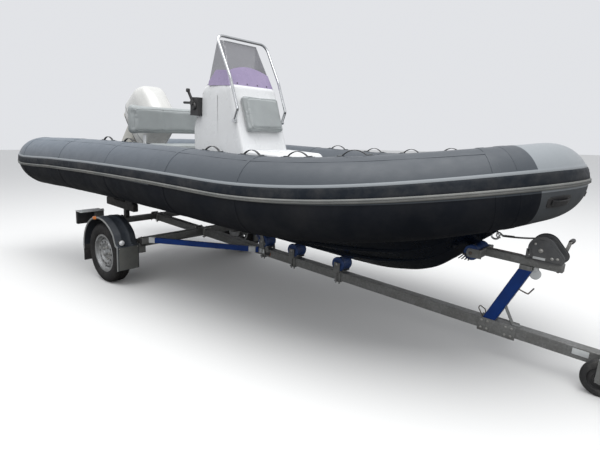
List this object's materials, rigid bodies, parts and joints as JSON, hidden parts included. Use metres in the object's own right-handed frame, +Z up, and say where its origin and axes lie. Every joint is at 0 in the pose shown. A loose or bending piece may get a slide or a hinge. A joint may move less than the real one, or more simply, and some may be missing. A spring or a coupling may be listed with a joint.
{
  "type": "inflatable boat on a road trailer",
  "caption": "Inflatable boat with a rigid V bottom, console and tilted outboard, parked nose down on its single axle road trailer and jockey wheel.",
  "frame": {"origin": "on the ground under the middle of the whole, boat and trailer together", "axes": "+X forward to the bow and the coupling, +Y to port, +Z up"},
  "size_m": [6.5008, 2.1066, 2.2452],
  "materials": {
    "tube_grey": "matt coated fabric",
    "nose_grey": "matt coated fabric",
    "rail_beige": "matt",
    "strake_black": "matt",
    "hull_navy": "gloss gelcoat",
    "deck_grey": "textured gelcoat",
    "gelcoat_white": "gloss gelcoat",
    "cushion_grey": "coated cloth",
    "band_lilac": "gloss film",
    "tinted_screen": "tinted acrylic",
    "stainless": "polished",
    "black_plastic": "moulded",
    "black_webbing": "woven",
    "black_rubber": "matt",
    "outboard_metal": "satin paint",
    "outboard_cream": "gloss paint",
    "cowl_white": "gloss",
    "engine_metal": "cast",
    "propeller_metal": "polished",
    "galvanised": "galvanised",
    "tyre": "road tyre",
    "rim_silver": "silver paint",
    "fender_grey": "moulded",
    "lamp_clear": "clear lens",
    "lens_red": "red lens",
    "lens_amber": "amber lens",
    "trailer_blue": "gloss paint",
    "roller_blue": "matt",
    "winch_grey": "satin paint",
    "black_steel": "satin paint"
  },
  "bodies": {
    "boat_and_trailer": {"tube_starboard": "tube_grey", "tube_bow": "nose_grey", "tube_port": "tube_grey", "rub_rail": "rail_beige", "rub_strake": "strake_black", "hull": "hull_navy", "deck": "deck_grey", "transom": "gelcoat_white", "stern_steps": "gelcoat_white", "console": "gelcoat_white", "front_seat": "gelcoat_white", "console_cushion": "cushion_grey", "screen_band": "band_lilac", "screen": "tinted_screen", "console_rail": "stainless", "throttle_box": "black_plastic", "seat_cushion": "cushion_grey", "seat_back": "cushion_grey", "seat_box": "gelcoat_white", "grab_loops": "black_webbing", "bow_eye": "stainless", "outboard_bracket": "outboard_metal", "spine": "galvanised", "cross_front_member": "galvanised", "cross_rear_member": "galvanised", "axle": "galvanised", "fender_left": "fender_grey", "fender_right": "fender_grey", "front_lamps": "lamp_clear", "mud_flaps": "black_rubber", "lamp_housings": "black_plastic", "tail_lenses": "lens_red", "side_reflectors": "lens_amber", "side_brace_left": "trailer_blue", "side_brace_right": "trailer_blue", "keel_rollers": "roller_blue", "roller_brackets": "galvanised", "side_bunks": "black_rubber", "winch_post": "trailer_blue", "winch_saddle": "galvanised", "winch_arm": "galvanised", "bow_roller": "roller_blue", "winch_frame": "winch_grey", "winch_strap": "black_webbing", "coupling_head": "black_steel", "jockey_tube": "galvanised"},
    "wheel_left": {"tyre_left": "tyre", "rim_left": "rim_silver"},
    "wheel_right": {"tyre_right": "tyre", "rim_right": "rim_silver"},
    "outboard_tilting": {"outboard_swivel": "outboard_metal"},
    "outboard_steering": {"outboard_leg": "outboard_cream", "outboard_cowl": "cowl_white", "outboard_engine": "engine_metal", "outboard_gearcase": "outboard_cream"},
    "propeller": {"propeller": "propeller_metal"},
    "steering_wheel": {"steering_wheel": "black_plastic"},
    "jockey_leg": {"jockey_leg": "galvanised"},
    "jockey_wheel": {"jockey_wheel": "black_rubber"}
  },
  "joints": [
    {"name": "wheel_left_spin", "type": "hinge", "parent": "boat_and_trailer", "child": "wheel_left", "pos_m": [-1.24801, 0.852, 0.287], "axis": [0, 1, 0], "continuous": true},
    {"name": "wheel_right_spin", "type": "hinge", "parent": "boat_and_trailer", "child": "wheel_right", "pos_m": [-1.24801, -0.852, 0.287], "axis": [0, 1, 0], "continuous": true},
    {"name": "outboard_tilt", "type": "hinge", "parent": "boat_and_trailer", "child": "outboard_tilting", "pos_m": [-1.9809, 0, 1.29252], "axis": [0, 1, 0], "range_deg": [-49, 16]},
    {"name": "outboard_steer", "type": "hinge", "parent": "outboard_tilting", "child": "outboard_steering", "pos_m": [-2.1458, 0, 1.26193], "axis": [0.7978, 0, 0.6029], "range_deg": [-30, 30]},
    {"name": "propeller_spin", "type": "hinge", "parent": "outboard_steering", "child": "propeller", "pos_m": [-2.76979, 0, 1.09249], "axis": [0.6029, 0, -0.7978], "continuous": true},
    {"name": "steering_wheel_turn", "type": "hinge", "parent": "boat_and_trailer", "child": "steering_wheel", "pos_m": [-0.60361, 0, 1.78053], "axis": [-0.8781, 0, 0.4784], "range_deg": [-541, 541]},
    {"name": "jockey_leg_slide", "type": "slide", "parent": "boat_and_trailer", "child": "jockey_leg", "axis": [-0.0684, 0, -0.9977], "range_m": [0, 0.22]},
    {"name": "jockey_wheel_spin", "type": "hinge", "parent": "jockey_leg", "child": "jockey_wheel", "pos_m": [2.6905, -0.101, 0.101], "axis": [0, 1, 0], "continuous": true}
  ],
  "couplings": [
    {"joint": "steering_wheel_turn", "follows": "outboard_steer", "ratio": -18}
  ]
}
